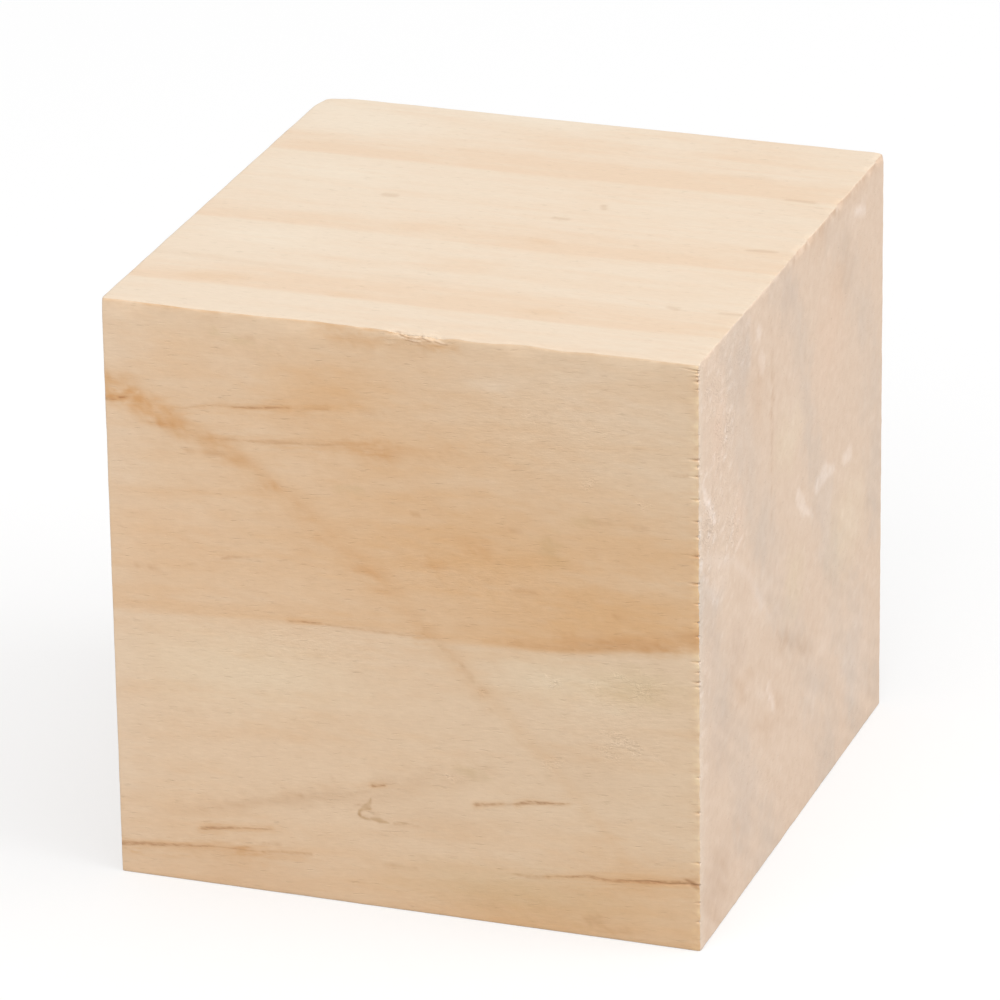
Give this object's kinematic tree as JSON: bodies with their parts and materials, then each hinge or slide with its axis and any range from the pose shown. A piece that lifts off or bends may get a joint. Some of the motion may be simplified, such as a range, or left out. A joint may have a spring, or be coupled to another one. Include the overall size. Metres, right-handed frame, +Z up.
{
  "type": "wooden cube",
  "caption": "Solid pine block close to a cube, planed along the grain and sawn across it, with crisp, slightly chipped edges.",
  "frame": {"origin": "centre of the base", "axes": "+X along the grain, towards the sawn end with torn edges; +Y from the front face to the back; +Z up"},
  "size_m": [0.05, 0.051, 0.0505],
  "materials": {
    "pine": "bare planed pine, matt, with rougher sawn end grain"
  },
  "bodies": {
    "root": {"block": "pine"}
  },
  "joints": []
}
